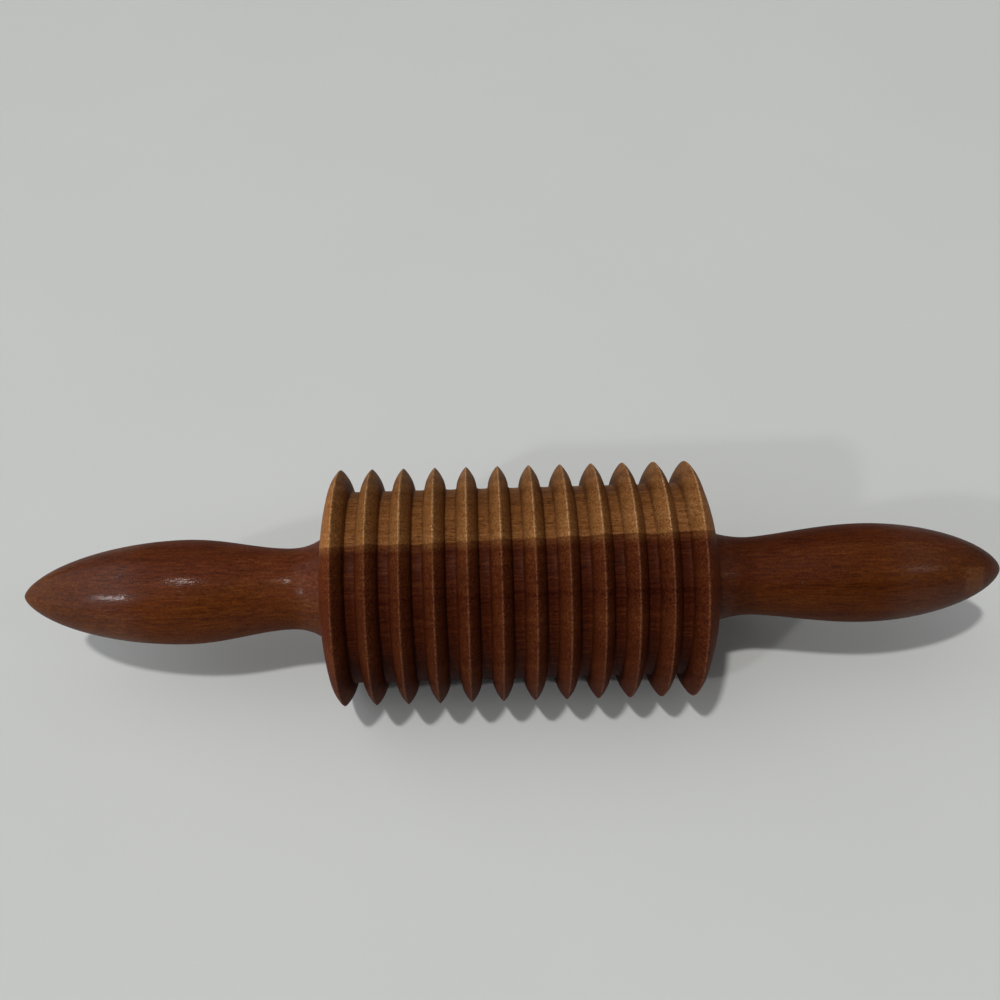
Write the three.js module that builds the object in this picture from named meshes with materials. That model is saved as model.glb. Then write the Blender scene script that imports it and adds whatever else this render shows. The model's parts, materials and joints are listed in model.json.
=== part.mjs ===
// Ridged rolling pin: a turned wooden roller with sharp ridges, which spins on a steel rod
// between two turned handles. Millimetres, +Z up, the pin's axis along X, and the origin
// under the middle of the ridges, on the surface that they stand on.
import * as THREE from 'three';

// Clearances
const RUNNING_CLEARANCE = 0.3; // between the rod and what turns on it
const SEAT_GAP = 0.2; // between pieces that are pressed or seated together
const END_GAP = 0.4; // between the roller's end and the handle's shoulder

// Roller
const RIDGE_COUNT = 12;
const RIDGE_PITCH = 10.07;
const RIDGE_TIP_RADIUS = 38;
const RIDGE_HEIGHT = 7.2; // from the groove's floor to the tip
const RIDGE_BASE_WIDTH = 6.6;
const RIDGE_LAND_WIDTH = 0.7; // the blunt strip along the tip
const END_FLANK_DEPTH = 4.9; // below the tip, where the last flank runs into the end's cone
const END_FACE_LIP = 0.2; // how far the end face stands out past the handle's shoulder
const BORE_RELIEF = 0.7; // the middle of the bore is wider than the bushes by this much
// A cone's length runs from the foot of the last ridge to the end face. Its crown is its bulge.
const LEFT_CONE = { length: 2.3, crown: 0.55 };
const RIGHT_CONE = { length: 3.9, crown: 0.95 };

// Bushes, pressed into the roller's ends
const BUSH_WALL = 2.7;
const BUSH_LENGTH = 16;
const BUSH_CHAMFER = 0.6;
const BUSH_FLANGE_WIDTH = 3;
const BUSH_FLANGE_THICKNESS = 2;

// Thrust washers, between the bushes and the handles
const WASHER_WIDTH = 4.4;
const WASHER_THICKNESS = 1;

// Rod
const ROD_RADIUS = 4;
const ROD_SHOULDER_WIDTH = 1; // the threaded ends are thinner by this much
const ROD_END_CHAMFER = 0.8;
const ROD_STICK_OUT = 4; // how far the threaded end passes the insert

// Threaded inserts, in the handles
const INSERT_WALL = 2.3;
const INSERT_LENGTH = 18;
const INSERT_BARB_COUNT = 5;
const INSERT_BARB_HEIGHT = 0.5;

// Handles: every length runs from the shoulder towards the nose. flareCurve and neckCurve are
// the powers of the rises on both sides of the neck: a lower one is fuller. noseCurve is that of
// the nose's cosine: a higher one is more pointed.
const PILOT_CLEARANCE = 0.5;
const SHOULDER_CHAMFER = 0.4;
const LEFT_HANDLE = {
  length: 96.4,
  shoulderRadius: 16.6,
  flareCurve: 2.3,
  neckRadius: 13.1,
  neckAt: 11,
  neckCurve: 0.86,
  gripRadius: 16.75,
  gripAt: 44.3,
  noseCurve: 1.31,
};
const RIGHT_HANDLE = {
  length: 94.8,
  shoulderRadius: 14.7,
  flareCurve: 2,
  neckRadius: 12.55,
  neckAt: 11.9,
  neckCurve: 0.7,
  gripRadius: 15.95,
  gripAt: 49.7,
  noseCurve: 1.24,
};

// Facets around each piece and along each curve
const ROLLER_SIDES = 36;
const HANDLE_SIDES = 32;
const FITTING_SIDES = 24;
const FLANK_STEPS = 3;
const CONE_STEPS = 3;
const FLARE_STEPS = 4;
const NECK_STEPS = 8;
const NOSE_STEPS = 10;

// Radii of the fittings on the axis
const runningRadius = ROD_RADIUS + RUNNING_CLEARANCE;
const threadRadius = ROD_RADIUS - ROD_SHOULDER_WIDTH;
const bushRadius = runningRadius + BUSH_WALL;
const flangeRadius = bushRadius + BUSH_FLANGE_WIDTH;
const washerRadius = runningRadius + WASHER_WIDTH;
const insertBoreRadius = threadRadius + SEAT_GAP;
const insertRadius = insertBoreRadius + INSERT_WALL;

// One end of the pin, with its stations along the axis from the middle of the ridges outwards
const endRidgeAt = (RIDGE_COUNT - 1) / 2 * RIDGE_PITCH;
function pinEnd(name, cone, handle) {
  const rollerEnd = endRidgeAt + RIDGE_BASE_WIDTH / 2 + cone.length;
  const flangeInner = rollerEnd - BUSH_FLANGE_THICKNESS;
  const bushInner = flangeInner - BUSH_LENGTH;
  const shoulderAt = rollerEnd + END_GAP;
  const washerInner = rollerEnd + RUNNING_CLEARANCE;
  const washerOuter = washerInner + WASHER_THICKNESS;
  const insertInner = washerOuter + SEAT_GAP;
  const insertOuter = insertInner + INSERT_LENGTH;
  const rodEnd = insertOuter + ROD_STICK_OUT;
  return {
    name, cone, handle, rollerEnd, flangeInner, bushInner, shoulderAt,
    washerInner, washerOuter, insertInner, insertOuter, rodEnd,
  };
}
const leftEnd = pinEnd('left', LEFT_CONE, LEFT_HANDLE);
const rightEnd = pinEnd('right', RIGHT_CONE, RIGHT_HANDLE);

// The roller stands on the flat facets of its ridge tips
const axisHeight = RIDGE_TIP_RADIUS * Math.cos(Math.PI / ROLLER_SIDES);

const wood = { color: 0x6b2f1c, roughness: 0.55, metalness: 0 };
const polishedWood = { color: 0x74331d, roughness: 0.35, metalness: 0 };
const steel = { color: 0xa9abad, roughness: 0.35, metalness: 1 };
const nylon = { color: 0xdad6c8, roughness: 0.5, metalness: 0 };
const brass = { color: 0xb08d45, roughness: 0.35, metalness: 1 };

// Everything is turned about this group's Y axis, which lies along the pin's X axis.
const turnedPieces = new THREE.Group();
turnedPieces.rotation.z = -Math.PI / 2;
turnedPieces.position.z = axisHeight;

const point = (radius, along) => new THREE.Vector2(radius, along);

// Turns an outline that runs anticlockwise, with the radius to the right and the axis upwards.
function turn(name, outline, sides, finish) {
  const geometry = new THREE.LatheGeometry(outline, sides, Math.PI / sides);
  const mesh = new THREE.Mesh(geometry, new THREE.MeshStandardMaterial(finish));
  mesh.name = name;
  turnedPieces.add(mesh);
}

const mirrored = (outline) => outline.map((p) => point(p.x, -p.y)).reverse();

// Turns an outline drawn as at the right end, or its mirror image at the left end.
function turnAtEnd(end, name, outline, sides, finish) {
  turn(`${end.name}_${name}`, end === leftEnd ? mirrored(outline) : outline, sides, finish);
}

const closed = (outline) => [...outline, outline[0].clone()];

// Half the width of a ridge at a depth below its tip: an arched flank, upright at its foot.
function ridgeHalfWidth(depth) {
  const land = RIDGE_LAND_WIDTH / 2;
  const foot = RIDGE_BASE_WIDTH / 2;
  const rise = 1 - depth / RIDGE_HEIGHT;
  return land + (foot - land) * (1 - rise * rise);
}

// One flank, from the tip down to a depth, on the side that faces along +Y or -Y.
function flank(ridgeAt, side, lowest) {
  const points = [];
  for (let step = 0; step <= FLANK_STEPS; step++) {
    const depth = lowest * step / FLANK_STEPS;
    points.push(point(RIDGE_TIP_RADIUS - depth, ridgeAt + side * ridgeHalfWidth(depth)));
  }
  return points;
}

// An end of the roller, from the last ridge's tip to the end face around the handle's shoulder.
function rollerEndOutline(end) {
  const outerFlank = flank(endRidgeAt, 1, END_FLANK_DEPTH);
  const coneTop = outerFlank.at(-1);
  const coneFoot = point(end.handle.shoulderRadius + END_FACE_LIP, end.rollerEnd);
  const middle = coneTop.clone().lerp(coneFoot, 0.5);
  middle.y += 2 * end.cone.crown;
  const cone = new THREE.QuadraticBezierCurve(coneTop, middle, coneFoot);
  return [...outerFlank, ...cone.getPoints(CONE_STEPS).slice(1)];
}

// The seat of a bush, from the end face inwards to the relieved middle of the bore.
function bushSeatOutline(end) {
  const flangeSeat = flangeRadius + SEAT_GAP;
  const barrelSeat = bushRadius + SEAT_GAP;
  const boreRadius = runningRadius + BORE_RELIEF;
  return [
    point(flangeSeat, end.rollerEnd),
    point(flangeSeat, end.flangeInner - SEAT_GAP),
    point(barrelSeat, end.flangeInner - SEAT_GAP),
    point(barrelSeat, end.bushInner - SEAT_GAP),
    point(boreRadius, end.bushInner - SEAT_GAP),
  ];
}

function makeRoller() {
  const ridges = [];
  for (let index = 0; index < RIDGE_COUNT; index++) {
    const ridgeAt = index * RIDGE_PITCH - endRidgeAt;
    if (index > 0) ridges.push(...flank(ridgeAt, -1, RIDGE_HEIGHT).reverse());
    if (index < RIDGE_COUNT - 1) ridges.push(...flank(ridgeAt, 1, RIDGE_HEIGHT));
  }
  const outline = [
    ...mirrored(rollerEndOutline(leftEnd)),
    ...ridges,
    ...rollerEndOutline(rightEnd),
    ...bushSeatOutline(rightEnd),
    ...mirrored(bushSeatOutline(leftEnd)),
  ];
  turn('roller', closed(outline), ROLLER_SIDES, wood);
}

// An end of the rod: a shoulder against the washer, then the thinner end that screws in.
function rodEndOutline(end) {
  return [
    point(ROD_RADIUS, end.washerOuter),
    point(threadRadius, end.washerOuter),
    point(threadRadius, end.rodEnd - ROD_END_CHAMFER),
    point(threadRadius - ROD_END_CHAMFER, end.rodEnd),
    point(0, end.rodEnd),
  ];
}

function makeRod() {
  const outline = [...mirrored(rodEndOutline(leftEnd)), ...rodEndOutline(rightEnd)];
  turn('axle_rod', outline, FITTING_SIDES, steel);
}

function makeBush(end) {
  const outline = [
    point(runningRadius, end.bushInner),
    point(bushRadius - BUSH_CHAMFER, end.bushInner),
    point(bushRadius, end.bushInner + BUSH_CHAMFER),
    point(bushRadius, end.flangeInner),
    point(flangeRadius, end.flangeInner),
    point(flangeRadius, end.rollerEnd),
    point(runningRadius, end.rollerEnd),
  ];
  turnAtEnd(end, 'bush', closed(outline), FITTING_SIDES, nylon);
}

function makeThrustWasher(end) {
  const outline = [
    point(runningRadius, end.washerInner),
    point(washerRadius, end.washerInner),
    point(washerRadius, end.washerOuter),
    point(runningRadius, end.washerOuter),
  ];
  turnAtEnd(end, 'thrust_washer', closed(outline), FITTING_SIDES, steel);
}

// Barbs rise towards the handle's mouth, so that the insert can't be pulled out again.
function makeThreadedInsert(end) {
  const barbLength = INSERT_LENGTH / (INSERT_BARB_COUNT + 1);
  const barbs = [];
  for (let index = 1; index <= INSERT_BARB_COUNT; index++) {
    const crest = end.insertInner + index * barbLength;
    barbs.push(point(insertRadius, crest));
    barbs.push(point(insertRadius - INSERT_BARB_HEIGHT, crest + barbLength));
  }
  const outline = [
    point(insertBoreRadius, end.insertInner),
    point(insertRadius, end.insertInner),
    ...barbs,
    point(insertBoreRadius, end.insertOuter),
  ];
  turnAtEnd(end, 'threaded_insert', closed(outline), FITTING_SIDES, brass);
}

// The blind bore, from its bottom out to the shoulder: pilot hole, insert and washer recess.
function handleBoreOutline(end) {
  const pilotRadius = threadRadius + PILOT_CLEARANCE;
  const boreRadius = insertRadius + SEAT_GAP;
  const recessRadius = washerRadius + SEAT_GAP;
  const pilotEnd = end.rodEnd + PILOT_CLEARANCE;
  const boreEnd = end.insertOuter + SEAT_GAP;
  return [
    point(0, pilotEnd),
    point(pilotRadius, pilotEnd),
    point(pilotRadius, boreEnd),
    point(boreRadius, boreEnd),
    point(boreRadius, end.insertInner),
    point(recessRadius, end.insertInner),
    point(recessRadius, end.shoulderAt),
  ];
}

// The outside, from the shoulder through the flare, the neck and the grip to the nose.
function handleOutside({ handle, shoulderAt }) {
  const points = [point(handle.shoulderRadius - SHOULDER_CHAMFER, shoulderAt)];
  const flareLength = handle.neckAt - SHOULDER_CHAMFER;
  for (let step = 0; step < FLARE_STEPS; step++) {
    const left = 1 - step / FLARE_STEPS;
    const rise = (handle.shoulderRadius - handle.neckRadius) * left ** handle.flareCurve;
    points.push(point(handle.neckRadius + rise, shoulderAt + handle.neckAt - flareLength * left));
  }
  for (let step = 0; step < NECK_STEPS; step++) {
    const share = step / NECK_STEPS;
    const ease = ((1 - Math.cos(Math.PI * share)) / 2) ** handle.neckCurve;
    const radius = handle.neckRadius + (handle.gripRadius - handle.neckRadius) * ease;
    points.push(point(radius, shoulderAt + handle.neckAt + (handle.gripAt - handle.neckAt) * share));
  }
  for (let step = 0; step < NOSE_STEPS; step++) {
    const angle = Math.PI / 2 * step / NOSE_STEPS;
    const radius = handle.gripRadius * Math.cos(angle) ** handle.noseCurve;
    const reach = (handle.length - handle.gripAt) * Math.sin(angle);
    points.push(point(radius, shoulderAt + handle.gripAt + reach));
  }
  points.push(point(0, shoulderAt + handle.length));
  return points;
}

function makeHandle(end) {
  const outline = [...handleBoreOutline(end), ...handleOutside(end)];
  turnAtEnd(end, 'handle', outline, HANDLE_SIDES, polishedWood);
}

makeRoller();
makeRod();
for (const end of [leftEnd, rightEnd]) {
  makeBush(end);
  makeThrustWasher(end);
  makeThreadedInsert(end);
  makeHandle(end);
}

const rollingPin = new THREE.Group();
rollingPin.add(turnedPieces);
export default rollingPin;
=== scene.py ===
"""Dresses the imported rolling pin: finely turned wood with its grain and finish, in a plain studio."""
import json
import math
import random

import bpy
import numpy as np
from mathutils import Matrix, Vector


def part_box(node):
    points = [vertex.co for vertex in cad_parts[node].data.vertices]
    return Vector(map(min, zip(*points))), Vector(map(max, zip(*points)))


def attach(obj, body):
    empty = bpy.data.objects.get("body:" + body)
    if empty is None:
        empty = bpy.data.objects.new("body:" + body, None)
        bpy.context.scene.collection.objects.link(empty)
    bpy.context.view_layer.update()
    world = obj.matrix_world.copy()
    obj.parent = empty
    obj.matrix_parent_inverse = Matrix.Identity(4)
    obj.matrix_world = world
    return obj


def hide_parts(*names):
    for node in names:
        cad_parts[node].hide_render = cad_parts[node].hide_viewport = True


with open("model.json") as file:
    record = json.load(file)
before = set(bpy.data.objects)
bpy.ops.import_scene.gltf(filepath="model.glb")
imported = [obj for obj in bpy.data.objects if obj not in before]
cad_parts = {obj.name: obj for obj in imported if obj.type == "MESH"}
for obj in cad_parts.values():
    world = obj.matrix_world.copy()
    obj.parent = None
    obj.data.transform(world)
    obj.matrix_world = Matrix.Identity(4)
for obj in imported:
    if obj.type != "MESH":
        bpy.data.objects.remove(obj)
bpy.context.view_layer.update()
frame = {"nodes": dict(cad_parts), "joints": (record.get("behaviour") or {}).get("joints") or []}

MM = 0.001

# The pin's frame: its axis lies along X, at the height of the roller's joint
AXIS_HEIGHT = frame["joints"][0]["pos_m"][2]
PIN_CENTRE = Vector((0, 0, AXIS_HEIGHT))

# Roller
RIDGE_COUNT = 12
RIDGE_PITCH = 10.07 * MM
RIDGE_HEIGHT = 7.2 * MM
RIDGE_FOOT = 3.3 * MM
TIP_RADIUS = AXIS_HEIGHT
TIP_ROUNDING = 0.12 * MM
GROOVE_RADIUS = TIP_RADIUS - RIDGE_HEIGHT
GROOVE_FILLET = 0.5 * MM
GROOVE_HOLLOW = 0.06 * MM
END_RIDGE_AT = (RIDGE_COUNT - 1) / 2 * RIDGE_PITCH
END_FLANK_DEPTH = 4.9 * MM
END_FACE_LIP = 0.2 * MM
END_GAP = 0.1 * MM
LEFT_CONE_CROWN = 0.55 * MM
RIGHT_CONE_CROWN = 0.95 * MM

# Fittings inside, which the bores clear by the seat gap
SEAT_GAP = 0.2 * MM
FLANGE_RADIUS = 10 * MM
FLANGE_THICKNESS = 2 * MM
BUSH_RADIUS = 7 * MM
BUSH_LENGTH = 16 * MM
ROLLER_BORE_RADIUS = 5 * MM
WASHER_RADIUS = 8.7 * MM
INSERT_RADIUS = 5.5 * MM
PILOT_RADIUS = 3.5 * MM
PILOT_CLEARANCE = 0.5 * MM
SHOULDER_ROUNDING = 0.15 * MM

# Handles: lengths run from the shoulder towards the nose
LEFT_HANDLE = {
    "shoulder_radius": 16.6 * MM,
    "flare_curve": 2.3,
    "neck_radius": 13.1 * MM,
    "neck_at": 11 * MM,
    "neck_curve": 0.86,
    "grip_radius": 16.75 * MM,
    "grip_at": 44.3 * MM,
    "nose_curve": 1.31,
}
RIGHT_HANDLE = {
    "shoulder_radius": 14.7 * MM,
    "flare_curve": 2,
    "neck_radius": 12.55 * MM,
    "neck_at": 11.9 * MM,
    "neck_curve": 0.7,
    "grip_radius": 15.95 * MM,
    "grip_at": 49.7 * MM,
    "nose_curve": 1.24,
}

# Facets around each piece and along each curve, and the angle from which an edge stays sharp
ROLLER_SIDES = 288
HANDLE_SIDES = 160
FLANK_STEPS = 9
FLANK_CROWDING = 1.6
FILLET_STEPS = 3
CONE_STEPS = 8
FLARE_STEPS = 12
NECK_STEPS = 24
NOSE_STEPS = 40
CREASE_ANGLE = math.radians(38)

# Wear on the ridge tips: worn down all round, with nicks of random number, width and depth
WEAR_REACH = 1.6 * MM
RUB_DEPTH = 0.05 * MM
RUB_WAVES = (3, 40)
RUB_SEED = 200
NICK_COUNT = (3, 6)
NICK_HALF_DEGREES = (0.7, 2.2)
NICK_DEPTH = (0.08 * MM, 0.35 * MM)
NICK_SEED = 100

# Unevenness of the handles, which comes in past the shoulder
SHOULDER_EASE = 4 * MM
OVAL_WAVES = (2, 3)
OVAL_DEPTH = 0.06 * MM
SANDING_LENGTH = 9 * MM
SANDING_DEPTH = 0.05 * MM
LEFT_SEED = 3
RIGHT_SEED = 8

# Camera, as the photograph was taken: a pixel is given in its 1000 by 1000 frame
PHOTO_SIZE = 1000
SENSOR_WIDTH = 36
CAMERA_LENS = 40.82
CAMERA_DISTANCE = 367 * MM
CAMERA_ELEVATION = math.radians(47)
CAMERA_YAW = math.radians(1.076)
CAMERA_ROLL = math.radians(-1.59)
ROLLER_PIXEL = (515.9, 582.3)


class End:
    """One end of the pin, with its stations along the axis from the middle outwards."""

    def __init__(self, name, cone_crown, handle):
        self.name = name
        self.cone_crown = cone_crown
        self.handle = handle
        self.roller_end = self.reach("roller")[1]
        self.shoulder = self.roller_end + END_GAP
        self.handle_start, self.nose = self.reach(f"{name}_handle")
        self.insert_inner, self.insert_outer = self.reach(f"{name}_threaded_insert")
        self.rod_end = self.reach("axle_rod")[1]

    def reach(self, node):
        """Where a node's box starts and ends along the axis."""
        low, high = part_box(node)
        return (-high.x, -low.x) if self.name == "left" else (low.x, high.x)

    def facing(self, outline):
        """An outline drawn as at the right end, turned round at the left end."""
        return mirrored(outline) if self.name == "left" else outline


LEFT_END = End("left", LEFT_CONE_CROWN, LEFT_HANDLE)
RIGHT_END = End("right", RIGHT_CONE_CROWN, RIGHT_HANDLE)


# Outlines, as lists of (radius, distance along the axis), which run anticlockwise

def mirrored(outline):
    """The same outline at the other end."""
    return [(radius, -along) for radius, along in reversed(outline)]


def ridge_half_width(share):
    """Half a ridge's width at a share of its depth: an arched flank under a rounded tip."""
    full = math.hypot(RIDGE_FOOT, TIP_ROUNDING) - TIP_ROUNDING
    spread = full * (1 - (1 - share) ** 2)
    return math.sqrt(spread * spread + 2 * spread * TIP_ROUNDING)


def flank(ridge_at, side, lowest):
    """One flank from the tip down to a share of its depth, with closer points near the tip."""
    shares = [lowest * (step / FLANK_STEPS) ** FLANK_CROWDING for step in range(FLANK_STEPS + 1)]
    return [
        (TIP_RADIUS - RIDGE_HEIGHT * share, ridge_at + side * ridge_half_width(share))
        for share in shares
    ]


def fillet(ridge_at, side):
    """The round corner between a ridge's foot and the groove's floor, from the ridge outwards."""
    corner = RIDGE_FOOT + GROOVE_FILLET
    points = []
    for step in range(1, FILLET_STEPS + 1):
        angle = math.pi / 2 * step / FILLET_STEPS
        radius = GROOVE_RADIUS + GROOVE_FILLET * (1 - math.sin(angle))
        points.append((radius, ridge_at + side * (corner - GROOVE_FILLET * math.cos(angle))))
    return points


def half_ridge(ridge_at, side):
    """From a ridge's tip down its flank to the middle of the groove beside it."""
    lowest = 1 - GROOVE_FILLET / RIDGE_HEIGHT
    groove_middle = (GROOVE_RADIUS - GROOVE_HOLLOW, ridge_at + side * RIDGE_PITCH / 2)
    return flank(ridge_at, side, lowest) + fillet(ridge_at, side) + [groove_middle]


def end_outline(end):
    """From the last ridge's tip over its outer flank and the cone to the end face."""
    outer_flank = flank(END_RIDGE_AT, 1, END_FLANK_DEPTH / RIDGE_HEIGHT)
    top = Vector(outer_flank[-1])
    foot = Vector((end.handle["shoulder_radius"] + END_FACE_LIP, end.roller_end))
    middle = (top + foot) / 2 + Vector((0, 2 * end.cone_crown))
    cone = []
    for step in range(1, CONE_STEPS + 1):
        t = step / CONE_STEPS
        cone.append(tuple(top * (1 - t) ** 2 + middle * 2 * t * (1 - t) + foot * t * t))
    return outer_flank + cone


def bush_seat(end):
    """A bush's seat, from the end face inwards to the middle of the bore."""
    flange_seat = FLANGE_RADIUS + SEAT_GAP
    barrel_seat = BUSH_RADIUS + SEAT_GAP
    flange_floor = end.roller_end - FLANGE_THICKNESS - SEAT_GAP
    barrel_floor = flange_floor - BUSH_LENGTH
    return [
        (flange_seat, end.roller_end),
        (flange_seat, flange_floor),
        (barrel_seat, flange_floor),
        (barrel_seat, barrel_floor),
        (ROLLER_BORE_RADIUS, barrel_floor),
    ]


def roller_outline():
    """The roller from its left end over the ridges to its right end, and back through the bore."""
    ridges = []
    for index in range(RIDGE_COUNT):
        ridge_at = index * RIDGE_PITCH - END_RIDGE_AT
        if index > 0:
            ridges += list(reversed(half_ridge(ridge_at, -1)))[1:-1]
        if index < RIDGE_COUNT - 1:
            ridges += half_ridge(ridge_at, 1)[0 if index else 1:]
    outside = mirrored(end_outline(LEFT_END)) + ridges + end_outline(RIGHT_END)
    return outside + bush_seat(RIGHT_END) + mirrored(bush_seat(LEFT_END))


def handle_bore(end):
    """The blind bore, from its bottom out to the shoulder."""
    pilot_end = end.rod_end + PILOT_CLEARANCE
    bore_end = end.insert_outer + SEAT_GAP
    bore_radius = INSERT_RADIUS + SEAT_GAP
    recess_radius = WASHER_RADIUS + SEAT_GAP
    return [
        (0, pilot_end),
        (PILOT_RADIUS, pilot_end),
        (PILOT_RADIUS, bore_end),
        (bore_radius, bore_end),
        (bore_radius, end.insert_inner),
        (recess_radius, end.insert_inner),
        (recess_radius, end.shoulder),
    ]


def handle_outside(end):
    """From the shoulder through the flare, the neck and the grip to the nose's tip."""
    handle = end.handle
    neck_at = end.handle_start + handle["neck_at"]
    grip_at = end.handle_start + handle["grip_at"]
    flare_length = neck_at - end.shoulder - SHOULDER_ROUNDING
    flare_rise = handle["shoulder_radius"] - handle["neck_radius"]
    grip_rise = handle["grip_radius"] - handle["neck_radius"]
    points = [(handle["shoulder_radius"] - SHOULDER_ROUNDING, end.shoulder)]
    for step in range(FLARE_STEPS):
        share = 1 - step / FLARE_STEPS
        radius = handle["neck_radius"] + flare_rise * share ** handle["flare_curve"]
        points.append((radius, neck_at - flare_length * share))
    for step in range(NECK_STEPS):
        share = step / NECK_STEPS
        ease = ((1 - math.cos(math.pi * share)) / 2) ** handle["neck_curve"]
        points.append((handle["neck_radius"] + grip_rise * ease, neck_at + (grip_at - neck_at) * share))
    for step in range(NOSE_STEPS):
        angle = math.pi / 2 * step / NOSE_STEPS
        radius = handle["grip_radius"] * math.cos(angle) ** handle["nose_curve"]
        points.append((radius, grip_at + (end.nose - grip_at) * math.sin(angle)))
    return points + [(0, end.nose)]


# Turned pieces

def turned_piece(name, outline, sides, closed, worked):
    """A mesh turned from an outline. worked gives what the tool and wear add to each radius."""
    radius, along = np.array(outline).T[:, :, None]
    angle = np.linspace(0, 2 * math.pi, sides, endpoint=False)[None, :]
    radius = radius + worked(radius, along, angle)
    rings = np.stack(np.broadcast_arrays(
        along, -radius * np.sin(angle), AXIS_HEIGHT + radius * np.cos(angle)), axis=-1)
    vertices = []
    ids = []
    for ring, (outline_radius, _) in zip(rings, outline):
        first = len(vertices)
        on_axis = outline_radius == 0
        vertices += [ring[0]] if on_axis else list(ring)
        ids.append([first] * sides if on_axis else list(range(first, first + sides)))
    next_ids = ids[1:] + ids[:1] if closed else ids[1:]
    faces = []
    for low, high in zip(ids, next_ids):
        for side in range(sides):
            after = (side + 1) % sides
            corners = (low[side], low[after], high[after], high[side])
            faces.append(tuple(dict.fromkeys(corners)))
    mesh = bpy.data.meshes.new(name)
    mesh.from_pydata([tuple(v) for v in vertices], [], faces)
    mesh.shade_smooth()
    mesh.set_sharp_from_angle(angle=CREASE_ANGLE)
    piece = bpy.data.objects.new(name, mesh)
    bpy.context.scene.collection.objects.link(piece)
    return piece


def ripple(angle, seed, lowest, highest):
    """A smooth random wave around the axis, mostly between -1 and 1."""
    draw = random.Random(seed)
    wave = np.zeros_like(angle)
    for count in range(lowest, highest + 1):
        wave = wave + draw.uniform(-1, 1) * np.sin(count * angle + draw.uniform(0, 2 * math.pi))
    return wave / math.sqrt(highest - lowest + 1)


def ridge_wear(radius, along, angle):
    """How far the ridge tips are worn down all round and nicked in places."""
    change = np.zeros(np.broadcast_shapes(radius.shape, along.shape, angle.shape))
    for index in range(RIDGE_COUNT):
        draw = random.Random(NICK_SEED + index)
        ridge_at = index * RIDGE_PITCH - END_RIDGE_AT
        near_ridge = np.abs(along - ridge_at) < RIDGE_PITCH / 2
        near_tip = np.clip(1 - (TIP_RADIUS - radius) / WEAR_REACH, 0, 1) ** 2 * near_ridge
        wear = RUB_DEPTH * (1 + ripple(angle, RUB_SEED + index, *RUB_WAVES))
        for _ in range(draw.randint(*NICK_COUNT)):
            middle = draw.uniform(0, 2 * math.pi)
            half = math.radians(draw.uniform(*NICK_HALF_DEGREES))
            away = np.angle(np.exp(1j * (angle - middle)))
            wear = wear + draw.uniform(*NICK_DEPTH) * np.exp(-(away / half) ** 2)
        change -= near_tip * np.clip(wear, 0, None)
    return change


def grip_wear(end, seed):
    """The slight unevenness of a handle turned and sanded by hand."""
    def worked(radius, along, angle):
        outside = radius > WASHER_RADIUS + 2 * SEAT_GAP
        past_shoulder = np.clip((np.abs(along) - end.shoulder) / SHOULDER_EASE, 0, 1)
        oval = ripple(angle, seed, *OVAL_WAVES) * OVAL_DEPTH
        waves = SANDING_DEPTH * np.sin(np.abs(along) / SANDING_LENGTH + seed)
        return outside * past_shoulder * (oval + waves)
    return worked


# Materials

class Nodes:
    """A node tree, with short calls that add nodes and join their sockets."""

    def __init__(self, tree):
        self.tree = tree

    def feed(self, socket, value):
        """Joins a socket to another one, or gives it a value."""
        if isinstance(value, bpy.types.NodeSocket):
            self.tree.links.new(value, socket)
        else:
            socket.default_value = value

    def add(self, kind, inputs, **settings):
        """A new node of a kind, with its inputs fed by name or number."""
        node = self.tree.nodes.new("ShaderNode" + kind)
        for name, value in settings.items():
            setattr(node, name, value)
        for key, value in inputs.items():
            self.feed(node.inputs[key], value)
        return node

    def maths(self, operation, *values):
        return self.add("Math", dict(enumerate(values)), operation=operation).outputs[0]

    def scaled(self, value, factor, plus):
        """A value times a factor, plus another value."""
        return self.maths("MULTIPLY_ADD", value, factor, plus)

    def times(self, *values):
        product = values[0]
        for value in values[1:]:
            product = self.maths("MULTIPLY", product, value)
        return product

    def span(self, value, low, high, start=0.0, end=1.0):
        """A smooth step of value from low to high, as start to end."""
        inputs = {0: value, 1: low, 2: high, 3: start, 4: end}
        return self.add("MapRange", inputs, interpolation_type="SMOOTHSTEP").outputs[0]


class Shader(Nodes):
    """A material, with the calls its looks are built from."""

    def __init__(self, name):
        self.material = bpy.data.materials.new(name)
        self.material.use_nodes = True
        super().__init__(self.material.node_tree)
        self.surface = self.tree.nodes["Principled BSDF"]

    def place(self):
        """The place on the piece at rest."""
        return self.add("TexCoord", {}).outputs["Object"]

    def position(self):
        """The place on the piece at rest, as x, y and height above the axis."""
        parts = self.add("SeparateXYZ", {0: self.place()}).outputs
        return parts[0], parts[1], self.maths("SUBTRACT", parts[2], AXIS_HEIGHT)

    def vector(self, x, y, z):
        return self.add("CombineXYZ", {0: x, 1: y, 2: z}).outputs[0]

    def noise(self, vector, scale, detail=2.0, roughness=0.5):
        """Noise in space, with scale cells to a metre."""
        inputs = {"Vector": vector, "Scale": scale, "Detail": detail, "Roughness": roughness}
        return self.add("TexNoise", inputs).outputs["Fac"]

    def line_noise(self, value, scale, detail=2.0):
        """Noise that changes with one value only."""
        inputs = {"W": value, "Scale": scale, "Detail": detail}
        return self.add("TexNoise", inputs, noise_dimensions="1D").outputs["Fac"]

    def mix(self, share, first, second, mode="MIX"):
        node = self.add("Mix", {0: share, 6: first, 7: second}, data_type="RGBA", blend_type=mode)
        return node.outputs[2]

    def bump(self, height, distance, strength):
        return self.add("Bump", {"Height": height, "Distance": distance, "Strength": strength}).outputs[0]

    def finish(self, **inputs):
        """Feeds the surface's sockets, named with underscores for spaces."""
        for name, value in inputs.items():
            self.feed(self.surface.inputs[name.replace("_", " ")], value)
        return self.material


def colour(red, green, blue):
    return (red, green, blue, 1)
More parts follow.
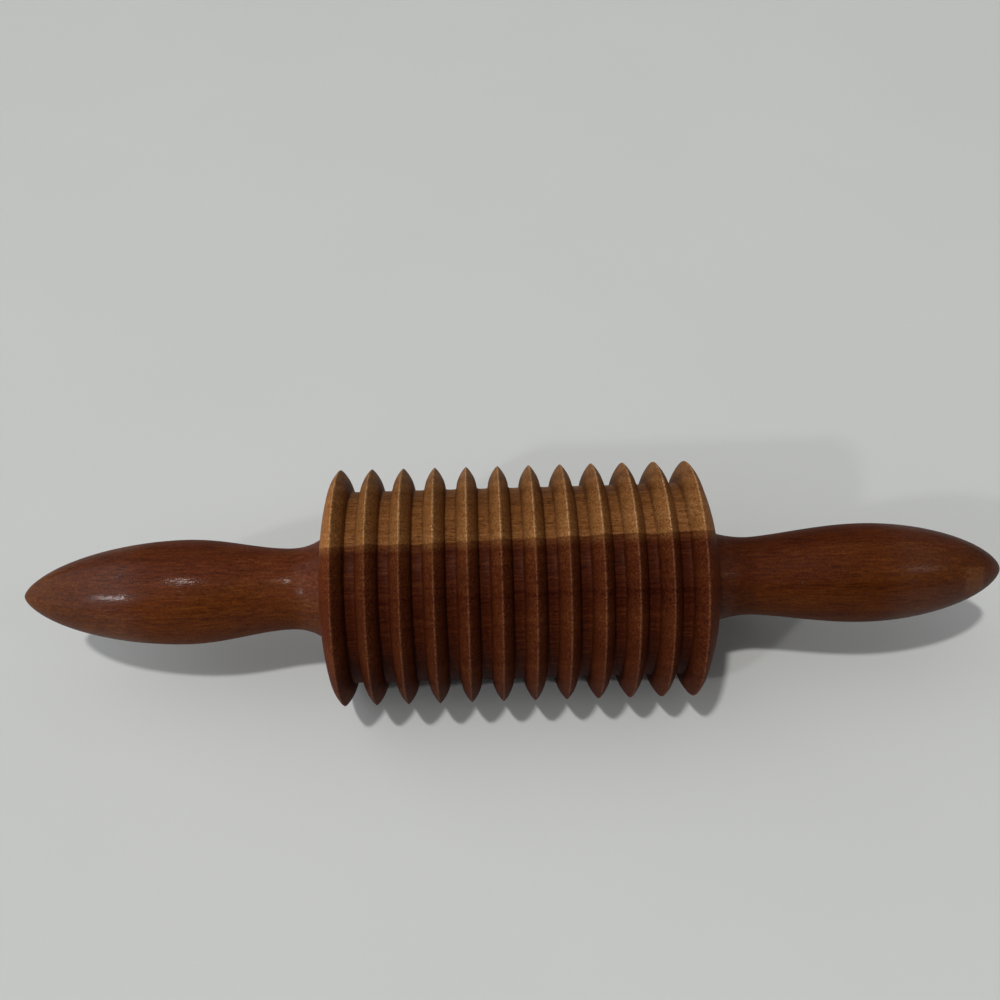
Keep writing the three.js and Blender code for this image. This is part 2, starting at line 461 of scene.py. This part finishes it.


# Tones of the wood, and tints that multiply them; those that paint light or shade say so
HEART_DARK = colour(0.035, 0.0055, 0.0020)
HEART = colour(0.079, 0.0185, 0.0060)
HEART_LIGHT = colour(0.135, 0.040, 0.0125)
# Paler heartwood tips: partly rubbed wear, partly a painted highlight along the crest
HEART_TIP_WEAR_AND_GLINT = colour(0.190, 0.080, 0.038)
SAP_DARK = colour(0.147, 0.0525, 0.0140)
SAP = colour(0.254, 0.107, 0.0325)
SAP_LIGHT = colour(0.365, 0.174, 0.0650)
# Paler sapwood tips: partly rubbed wear, partly a painted highlight along the crest
SAP_TIP_WEAR_AND_GLINT = colour(0.560, 0.350, 0.175)
GRIP_DARK = colour(0.057, 0.0130, 0.0028)
GRIP = colour(0.104, 0.0256, 0.0054)
GRIP_LIGHT = colour(0.152, 0.0455, 0.0100)
# Painted shade, darkening the groove corners beside the ridges
CORNER_PAINTED_SHADE = colour(0.012, 0.004, 0.002)
GOLD_TINT = colour(1.03, 1.04, 0.72)
# Violet zones of the wood, and on the handles' upper side a painted sheen
VIOLET_TINT_AND_SHEEN = colour(0.96, 0.89, 1.35)
# Painted shade for each handle: the right one is darker, and less blue, than the left
LEFT_HANDLE_SHADE_TINT = colour(1.0, 1.0, 1.0)
RIGHT_HANDLE_SHADE_TINT = colour(0.73, 0.68, 0.48)
SPECKLE_SHADE = colour(0.70, 0.66, 0.62)
# Painted shade, darkening the groove floors
GROOVE_PAINTED_SHADE = colour(0.76, 0.60, 0.55)
# Painted light, lightening the end cones outside the ridges
END_PAINTED_LIGHT = colour(1.28, 1.20, 1.10)

# Other materials: metals, which are duller in clouds, and pairs of a duller and a clearer tone
STEEL = colour(0.56, 0.57, 0.58)
STAMPED_STEEL = colour(0.48, 0.48, 0.49)
BRASS = colour(0.60, 0.41, 0.15)
METAL_DULLING = 0.8
NYLON_TONES = (colour(0.62, 0.58, 0.47), colour(0.76, 0.73, 0.63))
FLOOR_TONES = (colour(0.580, 0.590, 0.584), colour(0.610, 0.620, 0.614))

# Grain: rings, fibres and patches add up to how light the wood is. Pores and flecks come in over
# a span of their noise
RING_SPACING = 2.4 * MM
RING_DRIFT = 6 * MM
RING_CONTRAST = 0.2
FIBRE_CONTRAST = 0.6
PATCH_CONTRAST = 0.35
PORE_NOISE = (0.56, 0.70)
SPECKLE_NOISE = (0.62, 0.36)

# Oil finish, rougher where the wood is light
WOOD_ROUGHNESS = 0.5
LIGHT_ROUGHNESS = 0.12
WOOD_SPECULAR = 0.02

# The growth rings' outer side faces along this angle from straight up, towards the back
SAP_SIDE = math.radians(51.1)
SAP_FROM = 11.7 * MM
SAP_SLANT = 0.0168
SAP_WANDER = 2.4 * MM
SAP_EDGE = (SAP_FROM - 0.35 * MM, SAP_FROM + 0.25 * MM)
TURNING_EDGE = (SAP_FROM - 3.2 * MM, SAP_FROM - 0.6 * MM)
TURNING_SHARE = 0.34

# Where the painted shade of the groove floors and corners, and the paler ridge tips with their painted
# highlight, come in on the roller, from none to all of it
WITHIN_RIDGES = (END_RIDGE_AT + 0.5 * MM, END_RIDGE_AT - 0.5 * MM)
GROOVE_SHADE_RADIUS = (GROOVE_RADIUS + 3 * MM, GROOVE_RADIUS)
CORNER_SHADE_RADIUS = (GROOVE_RADIUS + 1.2 * MM, GROOVE_RADIUS + 0.2 * MM)
CORNER_SHADE_FROM_RIDGE = (RIDGE_FOOT + 0.8 * MM, RIDGE_FOOT + 0.1 * MM)
TIP_WEAR_AND_GLINT_RADIUS = (TIP_RADIUS - 0.45 * MM, TIP_RADIUS - 0.08 * MM)
TIP_WEAR_AND_GLINT_NOISE = (0.35, 0.65)

# How much of them shows there, and the shade and relief of its pores and turning marks
GROOVE_SHADE_ON_SAP = 0.3
CORNER_SHADE_SHARE = 0.2
TIP_WEAR_AND_GLINT_SHARE = (0.05, 0.55)
ROLLER_PORE_SHADE = 0.6
ROLLER_PORE_DEPTH = 0.8
TURNING_MARKS = 0.5

# Handles: grain, golden and violet zones, with violet on the upper side as a painted sheen, and a gloss
# that grows on the nose and at the flare
LEFT_RING_ANGLE = math.radians(34)
RIGHT_RING_ANGLE = SAP_SIDE
ZONES_AT = 110 * MM
ZONES_ALONG = 0.002 / MM
VIOLET_SHEEN_ACROSS = 0.007 / MM
ZONES_NOISE = (0.35, 0.65)
HANDLE_PORE_SHADE = 0.5
HANDLE_PORE_DEPTH = 1.0
HANDLE_SPECKLE_SHARE = 0.9
HANDLE_SPECKLE_HEIGHT = 0.8
GRIP_GLOSS = 0.045
NOSE_GLOSS = 0.18
NOSE_GLOSS_FROM = (112 * MM, 126 * MM)
FLARE_GLOSS = 0.10
FLARE_GLOSS_FROM = (70 * MM, 67.5 * MM)

# The pale place near the right handle's tip: each pair runs from its outside to its inside
PATCH_START = (141.8 * MM, 145.2 * MM)
PATCH_END = (151.2 * MM, 150.0 * MM)
PATCH_TOP = (1.0 * MM, 0.3 * MM)
PATCH_BOTTOM = (-9.5 * MM, -6.0 * MM)
PATCH_FRONT = (0.0, -2 * MM)
PATCH_RAGGED = 2.4 * MM
PATCH_SHARE = 0.6


class Wood(Shader):
    """Wood with its grain along the pin: growth rings, fibres and pores cut by any surface."""

    def __init__(self, name, ring_angle):
        super().__init__(name)
        self.x, y, z = self.position()
        sine, cosine = math.sin(ring_angle), math.cos(ring_angle)
        self.from_middle = self.maths("ABSOLUTE", self.x)
        self.radius = self.maths("SQRT", self.maths("ADD", self.times(y, y), self.times(z, z)))
        self.across = self.maths("ADD", self.times(y, sine), self.times(z, cosine))
        self.aside = self.maths("SUBTRACT", self.times(y, cosine), self.times(z, sine))

    def stretched(self, share):
        """Coordinates in which things lie along the grain, longer by one over share."""
        return self.vector(self.times(self.x, share), self.across, self.aside)

    def rings(self):
        """Growth rings across the grain, which drift along it."""
        drift = self.noise(self.stretched(0.2), scale=40)
        place = self.scaled(drift, RING_DRIFT, plus=self.across)
        return self.line_noise(place, scale=1 / RING_SPACING, detail=3)

    def grain(self):
        """How light the wood is from growth rings and fibres, from 0 to 1, and its pores."""
        fibres = self.noise(self.stretched(0.065), scale=1300, detail=3, roughness=0.7)
        patches = self.noise(self.stretched(0.25), scale=60)
        light = self.scaled(self.rings(), RING_CONTRAST, plus=self.times(fibres, FIBRE_CONTRAST))
        light = self.scaled(patches, PATCH_CONTRAST, plus=light)
        pores = self.noise(self.stretched(0.14), scale=2400, detail=1)
        return self.span(light, low=0.36, high=0.80), self.span(pores, *PORE_NOISE)

    def speckle(self):
        """Fine flecks that run in no direction."""
        return self.noise(self.stretched(1.0), scale=1500, roughness=0.7)

    def tinted(self, light, dark_tone, middle_tone, light_tone):
        """Three tones that follow how light the wood is."""
        lower = self.span(light, 0.0, 0.5)
        upper = self.span(light, 0.5, 1.0)
        return self.mix(upper, self.mix(lower, dark_tone, middle_tone), light_tone)

    def from_ridge(self):
        """The distance along the axis from the nearest ridge's tip."""
        turns = self.scaled(self.x, 1 / RIDGE_PITCH, plus=RIDGE_COUNT / 2)
        off_centre = self.maths("SUBTRACT", self.maths("FRACT", turns), 0.5)
        return self.times(self.maths("ABSOLUTE", off_centre), RIDGE_PITCH)

    def oiled(self, light):
        """The roughness of oiled wood, a little duller where it is light."""
        return self.scaled(light, LIGHT_ROUGHNESS, plus=WOOD_ROUGHNESS)


def roller_wood():
    """Oiled heartwood with sapwood along one side. The grooves and their corners are darkened as painted
    shade, the end cones lightened as painted light, and the ridge tips made pale, partly by rubbing and
    partly as a painted highlight.
    """
    wood = Wood("roller_wood", SAP_SIDE)
    light, pores = wood.grain()
    heart = wood.tinted(light, HEART_DARK, HEART, HEART_LIGHT)
    sap = wood.tinted(light, SAP_DARK, SAP, SAP_LIGHT)
    wander = wood.noise(wood.vector(wood.x, 0.0, 0.0), scale=55)
    edge = wood.scaled(wander, -SAP_WANDER, plus=wood.across)
    edge = wood.scaled(wood.x, -SAP_SLANT, plus=edge)
    turning = wood.span(edge, *TURNING_EDGE, end=TURNING_SHARE)
    sapwood = wood.span(edge, *SAP_EDGE)
    tone = wood.mix(sapwood, wood.mix(turning, heart, sap), sap)
    tone = wood.mix(wood.times(pores, ROLLER_PORE_SHADE), tone, HEART_DARK)
    speckle = wood.speckle()
    tone = wood.mix(wood.span(speckle, *SPECKLE_NOISE), tone, SPECKLE_SHADE, "MULTIPLY")

    within = wood.span(wood.from_middle, *WITHIN_RIDGES)
    # Painted shade: the groove floors are darkened, less where they are sapwood
    groove_shade = wood.times(within, wood.span(wood.radius, *GROOVE_SHADE_RADIUS))
    groove_shade = wood.times(groove_shade, wood.span(sapwood, 0.0, 1.0, start=1.0, end=GROOVE_SHADE_ON_SAP))
    tone = wood.mix(groove_shade, tone, GROOVE_PAINTED_SHADE, "MULTIPLY")
    low = wood.span(wood.radius, *CORNER_SHADE_RADIUS)
    beside_ridge = wood.span(wood.from_ridge(), *CORNER_SHADE_FROM_RIDGE)
    # Painted shade in the groove corners beside each ridge
    tone = wood.mix(wood.times(within, low, beside_ridge, CORNER_SHADE_SHARE), tone, CORNER_PAINTED_SHADE)
    # Painted light: the end cones outside the ridges are made lighter
    tone = wood.mix(wood.maths("SUBTRACT", 1.0, within), tone, END_PAINTED_LIGHT, "MULTIPLY")

    # The ridge tips are made paler: partly rubbed wear, partly a painted highlight along the crest, with
    # painted glints in flecks
    at_tip = wood.span(wood.radius, *TIP_WEAR_AND_GLINT_RADIUS)
    tip_wear_and_glint = wood.times(at_tip, wood.span(speckle, *TIP_WEAR_AND_GLINT_NOISE, *TIP_WEAR_AND_GLINT_SHARE))
    tone = wood.mix(tip_wear_and_glint, tone, wood.mix(sapwood, HEART_TIP_WEAR_AND_GLINT, SAP_TIP_WEAR_AND_GLINT))

    turned = wood.line_noise(wood.maths("ADD", wood.x, wood.radius), scale=2600)
    height = wood.scaled(pores, -ROLLER_PORE_DEPTH, plus=wood.times(turned, TURNING_MARKS))
    return wood.finish(
        Base_Color=tone,
        Roughness=wood.oiled(light),
        Normal=wood.bump(height, distance=0.06 * MM, strength=0.6),
        Specular_IOR_Level=WOOD_SPECULAR,
        Coat_Weight=0.02,
        Coat_Roughness=0.35)


def handle_wood(name, ring_angle, shade_tint, patch=None):
    """Oiled heartwood, glossier at the nose and the flare. patch adds a pale place near the nose."""
    wood = Wood(name, ring_angle)
    light, pores = wood.grain()
    tone = wood.tinted(light, GRIP_DARK, GRIP, GRIP_LIGHT)
    # Painted shade: the handle's shade tint darkens it
    tone = wood.mix(1.0, tone, shade_tint, "MULTIPLY")
    to_neck = wood.maths("SUBTRACT", ZONES_AT, wood.from_middle)
    zones_and_sheen = wood.scaled(to_neck, ZONES_ALONG, plus=wood.noise(wood.stretched(0.5), scale=45))
    # The upper side goes violet, a painted sheen, and the lower side more golden
    zones_and_sheen = wood.scaled(wood.across, VIOLET_SHEEN_ACROSS, plus=zones_and_sheen)
    tint = wood.mix(wood.span(zones_and_sheen, *ZONES_NOISE), GOLD_TINT, VIOLET_TINT_AND_SHEEN)
    tone = wood.mix(1.0, tone, tint, "MULTIPLY")
    if patch:
        tone = wood.mix(patch(wood), tone, wood.tinted(light, GRIP_LIGHT, SAP_DARK, SAP))
    tone = wood.mix(wood.times(pores, HANDLE_PORE_SHADE), tone, HEART_DARK)
    speckle = wood.speckle()
    flecks = wood.span(speckle, *SPECKLE_NOISE, end=HANDLE_SPECKLE_SHARE)
    tone = wood.mix(flecks, tone, SPECKLE_SHADE, "MULTIPLY")
    height = wood.scaled(pores, -HANDLE_PORE_DEPTH, plus=wood.times(speckle, HANDLE_SPECKLE_HEIGHT))
    at_nose = wood.span(wood.from_middle, *NOSE_GLOSS_FROM, start=GRIP_GLOSS, end=NOSE_GLOSS)
    at_flare = wood.span(wood.from_middle, *FLARE_GLOSS_FROM, start=GRIP_GLOSS, end=FLARE_GLOSS)
    return wood.finish(
        Base_Color=tone,
        Roughness=wood.oiled(light),
        Normal=wood.bump(height, distance=0.06 * MM, strength=0.7),
        Specular_IOR_Level=WOOD_SPECULAR,
        Coat_Weight=wood.maths("MAXIMUM", at_nose, at_flare),
        Coat_Roughness=0.13,
        Coat_IOR=1.8,
        Coat_Normal=wood.bump(height, distance=0.08 * MM, strength=0.8))


def pale_patch(wood):
    """Where the turning tool ran out into sapwood, just short of the right handle's tip."""
    ragged = wood.noise(wood.stretched(0.3), scale=900)
    place = wood.scaled(ragged, PATCH_RAGGED, plus=wood.x)
    along = wood.times(wood.span(place, *PATCH_START), wood.span(place, *PATCH_END))
    upright = wood.times(wood.span(wood.across, *PATCH_TOP), wood.span(wood.across, *PATCH_BOTTOM))
    front = wood.span(wood.aside, *PATCH_FRONT)
    return wood.times(along, upright, front, PATCH_SHARE)


def metal(name, base, roughness, mark_scale):
    """Bright metal with fine turning marks."""
    shader = Shader(name)
    x, y, z = shader.position()
    marks = shader.line_noise(x, mark_scale, detail=3)
    cloud = shader.noise(shader.vector(x, y, z), scale=180, detail=3)
    dull = colour(*(METAL_DULLING * part for part in base[:3]))
    return shader.finish(
        Base_Color=shader.mix(shader.span(cloud, 0.3, 0.7), dull, base),
        Roughness=shader.scaled(marks, 0.15, plus=roughness),
        Normal=shader.bump(marks, distance=0.02 * MM, strength=0.4),
        Metallic=1.0)


def nylon():
    """Natural nylon, slightly clouded."""
    shader = Shader("nylon")
    cloud = shader.noise(shader.vector(*shader.position()), scale=400, detail=3)
    return shader.finish(
        Base_Color=shader.mix(cloud, *NYLON_TONES),
        Roughness=shader.scaled(cloud, 0.2, plus=0.35),
        Normal=shader.bump(cloud, distance=0.02 * MM, strength=0.3))


def pale_floor():
    """A plain pale floor, faintly clouded."""
    shader = Shader("pale_floor")
    cloud = shader.noise(shader.place(), scale=9, detail=3)
    return shader.finish(
        Base_Color=shader.mix(cloud, *FLOOR_TONES),
        Roughness=0.7,
        Specular_IOR_Level=0.2)


# The object

def place_piece(piece, material, node, body):
    """Puts a piece on its body, in the place of the solid that it refines."""
    piece.data.materials.append(material)
    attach(piece, body)
    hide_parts(node)


def make_roller():
    piece = turned_piece("turned_roller", roller_outline(), ROLLER_SIDES, True, ridge_wear)
    place_piece(piece, roller_wood(), "roller", "roller")


def make_handle(end, seed, material):
    outline = end.facing(handle_bore(end) + handle_outside(end))
    piece = turned_piece(f"turned_{end.name}_handle", outline, HANDLE_SIDES, False, grip_wear(end, seed))
    place_piece(piece, material, f"{end.name}_handle", "handles")


def dress_fittings():
    """The fittings inside keep their solids and get their metals and nylon."""
    steel = metal("drawn_steel", STEEL, roughness=0.28, mark_scale=900)
    stamped = metal("stamped_steel", STAMPED_STEEL, roughness=0.36, mark_scale=400)
    brass = metal("turned_brass", BRASS, roughness=0.30, mark_scale=1200)
    white = nylon()
    finishes = {"axle_rod": steel}
    for end in (LEFT_END, RIGHT_END):
        finishes[f"{end.name}_bush"] = white
        finishes[f"{end.name}_thrust_washer"] = stamped
        finishes[f"{end.name}_threaded_insert"] = brass
    for node, material in finishes.items():
        mesh = frame["nodes"][node].data
        mesh.materials.clear()
        mesh.materials.append(material)


# The studio: how strongly the room lights the pin, is mirrored in it, and is seen behind it, with
# its colour and half the width of the floor in metres

ROOM_LIGHT = 0.03
ROOM_MIRRORED = 0.2
ROOM_SEEN = 0.55
ROOM_COLOUR = colour(0.95, 0.98, 1.0)
FLOOR_HALF_SIZE = 6.0


def make_floor():
    half = FLOOR_HALF_SIZE
    corners = [(-half, -half, 0), (half, -half, 0), (half, half, 0), (-half, half, 0)]
    mesh = bpy.data.meshes.new("floor")
    mesh.from_pydata(corners, [], [(0, 1, 2, 3)])
    mesh.materials.append(pale_floor())
    floor = bpy.data.objects.new("floor", mesh)
    bpy.context.scene.collection.objects.link(floor)


def add_light(name, kind, towards, tint):
    """A lamp of a kind that shines from a direction to the pin, and its settings."""
    data = bpy.data.lights.new(name, kind)
    data.color = tint
    lamp = bpy.data.objects.new(name, data)
    bpy.context.scene.collection.objects.link(lamp)
    lamp.rotation_euler = towards.to_track_quat("Z", "Y").to_euler()
    return lamp, data


def make_sun(name, direction, spread, strength, tint):
    """A distant lamp that shines from a direction, softened over an angle."""
    _, data = add_light(name, "SUN", Vector(direction), tint)
    data.angle = math.radians(spread)
    data.energy = strength


def make_lamp(name, place, width, strength, tint):
    """A round lamp at a place in metres, as strong on the pin as a distant lamp of the same strength."""
    towards = Vector(place)
    lamp, data = add_light(name, "AREA", towards, tint)
    lamp.location = towards
    data.shape = "DISK"
    data.size = width
    data.energy = strength * math.pi * towards.length_squared


def make_lights():
    """The main lamp and a small one at the side give the shadows and highlights, the rest fill in."""
    make_lamp("key", (-0.948, -1.231, 4.35), width=0.26, strength=1.40, tint=(1.0, 0.99, 0.96))
    make_sun("side", (-0.60, -0.608, 0.52), spread=3, strength=0.50, tint=(0.98, 0.99, 1.0))
    make_sun("left", (-0.84, -0.10, 0.53), spread=90, strength=1.28, tint=(0.96, 0.99, 1.02))
    make_sun("right", (0.63, -0.434, 0.646), spread=12, strength=0.07, tint=(1.0, 0.99, 0.97))
    make_sun("overhead", (0.0, -0.15, 0.99), spread=100, strength=0.50, tint=(1.0, 0.98, 0.94))


def make_room():
    """A plain room, whose strength depends on how a ray comes to it."""
    world = bpy.data.worlds.new("room")
    world.use_nodes = True
    nodes = Nodes(world.node_tree)
    rays = nodes.add("LightPath", {}).outputs
    mirrored_ray = nodes.maths("MAXIMUM", rays["Is Glossy Ray"], rays["Is Transmission Ray"])
    strength = nodes.scaled(mirrored_ray, ROOM_MIRRORED - ROOM_LIGHT, plus=ROOM_LIGHT)
    strength = nodes.scaled(rays["Is Camera Ray"], ROOM_SEEN - ROOM_LIGHT, plus=strength)
    background = world.node_tree.nodes["Background"].inputs
    nodes.feed(background["Color"], ROOM_COLOUR)
    nodes.feed(background["Strength"], strength)
    bpy.context.scene.world = world


def make_camera():
    """Places the camera from where the roller's middle and axis lie in the photograph's frame."""
    along_pin = Vector((math.cos(CAMERA_YAW) * math.cos(CAMERA_ROLL),
                        math.cos(CAMERA_YAW) * math.sin(CAMERA_ROLL),
                        math.sin(CAMERA_YAW)))
    down = Vector((0, 0, 1)).cross(along_pin).normalized()
    ahead = along_pin.cross(down)
    sine, cosine = math.sin(CAMERA_ELEVATION), math.cos(CAMERA_ELEVATION)
    to_world = Matrix((along_pin, ahead * cosine - down * sine, -ahead * sine - down * cosine))
    focal = CAMERA_LENS / SENSOR_WIDTH * PHOTO_SIZE
    aside, below = ((pixel - PHOTO_SIZE / 2) / focal for pixel in ROLLER_PIXEL)
    roller_seen = Vector((aside, below, 1)) * CAMERA_DISTANCE
    turn = to_world @ Matrix.Diagonal((1, -1, -1))
    data = bpy.data.cameras.new("camera")
    data.lens = CAMERA_LENS
    data.sensor_width = SENSOR_WIDTH
    camera = bpy.data.objects.new("camera", data)
    bpy.context.scene.collection.objects.link(camera)
    camera.matrix_world = Matrix.Translation(PIN_CENTRE - to_world @ roller_seen) @ turn.to_4x4()
    bpy.context.scene.camera = camera


make_camera()
make_lights()
make_room()
make_floor()
make_roller()
left_wood = handle_wood("left_handle_wood", LEFT_RING_ANGLE, LEFT_HANDLE_SHADE_TINT)
make_handle(LEFT_END, LEFT_SEED, left_wood)
right_wood = handle_wood("right_handle_wood", RIGHT_RING_ANGLE, RIGHT_HANDLE_SHADE_TINT, pale_patch)
make_handle(RIGHT_END, RIGHT_SEED, right_wood)
dress_fittings()

bpy.context.scene.view_settings.view_transform = "Standard"
